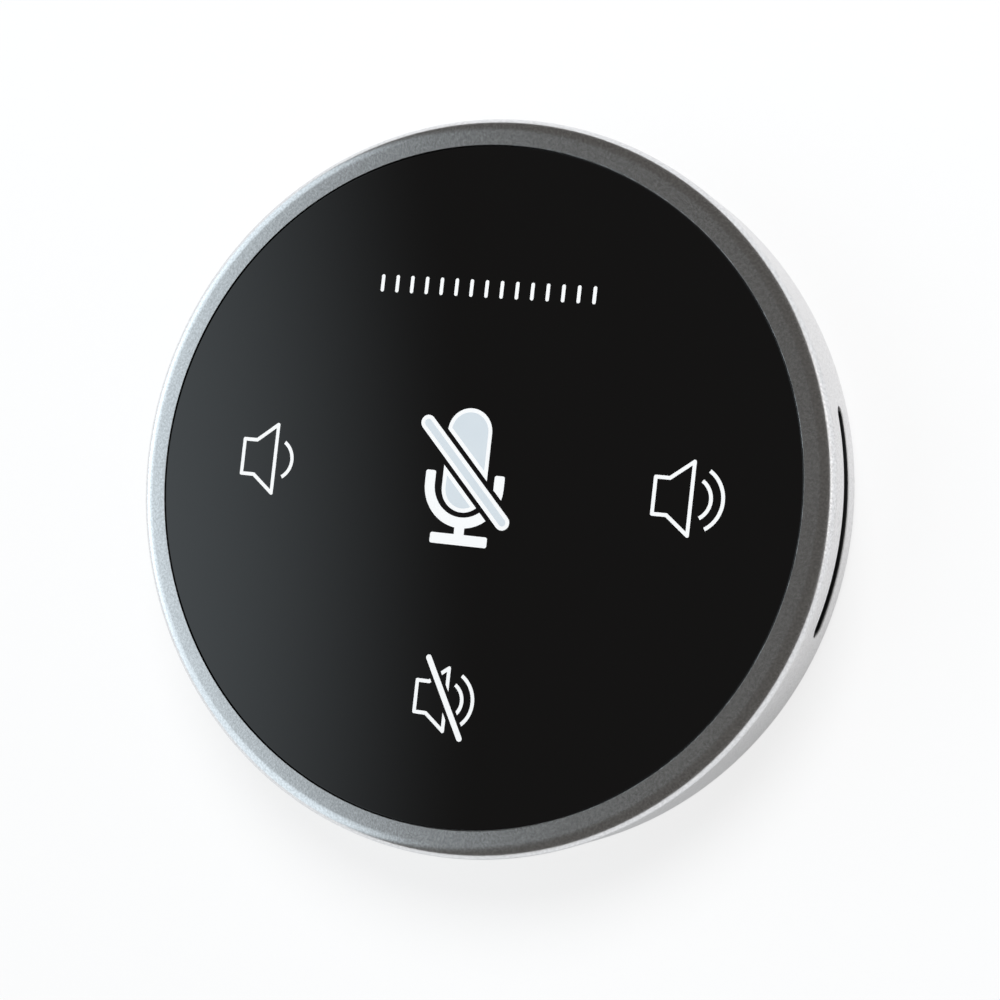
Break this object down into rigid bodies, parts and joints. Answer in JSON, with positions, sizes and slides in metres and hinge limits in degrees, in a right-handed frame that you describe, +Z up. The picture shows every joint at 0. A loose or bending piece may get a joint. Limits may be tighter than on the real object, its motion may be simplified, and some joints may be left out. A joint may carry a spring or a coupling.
{
  "type": "desktop microphone",
  "caption": "Flat round conference microphone: black touch panel in an aluminium ring, sound slot in each side, USB-C socket at the back, rubber foot ring.",
  "frame": {"origin": "centre of the footprint, on the surface that the foot ring stands on", "axes": "+Z up through the glass, +Y towards the top of the panel and out of the USB-C socket, +X to the right of the panel through the right sound slot"},
  "size_m": [0.1, 0.1, 0.0146],
  "materials": {
    "housing": "sand-blasted and clear anodised",
    "glass": "polished black back-printed cover glass",
    "print": "black screen print",
    "tape": "black foam bonding tape",
    "film": "clear polyester film with printed electrodes",
    "baffle": "black moulded ABS",
    "diffuser": "milky acrylic",
    "board": "green solder mask on glass-epoxy laminate",
    "lamp": "white lamp chip with a clear lens",
    "chip": "black moulded epoxy",
    "screw": "zinc-plated steel",
    "connector": "black moulded nylon",
    "contact": "gold-plated",
    "capacitor": "tan ceramic",
    "shell": "bright drawn steel",
    "capsule": "drawn can",
    "lead": "tinned wire",
    "rubber": "matt black silicone rubber",
    "screen": "black woven steel cloth",
    "cover": "fine-textured black ABS"
  },
  "bodies": {
    "root": {"housing_ring": "housing", "touch_glass": "glass", "black_print": "print", "glass_tape": "tape", "touch_film": "film", "light_baffle": "baffle", "icon_diffusers": "diffuser", "touch_board": "board", "icon_leds": "lamp", "touch_chip": "chip", "touch_board_screws": "screw", "header_body": "connector", "header_socket": "connector", "header_pins": "contact", "main_board": "board", "main_board_screws": "screw", "audio_chip": "chip", "voltage_regulator": "chip", "crystal": "shell", "chip_capacitors": "capacitor", "chip_resistors": "chip", "usb_shell": "shell", "usb_insert": "connector", "usb_contacts": "contact", "mic_capsule_right": "capsule", "mic_capsule_left": "capsule", "mic_boot_right": "rubber", "mic_boot_left": "rubber", "capsule_leads": "lead", "acoustic_mesh_right": "screen", "acoustic_mesh_left": "screen", "slot_liner_right": "rubber", "slot_liner_left": "rubber", "bottom_cover": "cover", "bottom_screws": "screw", "foot_ring": "rubber"}
  },
  "joints": []
}
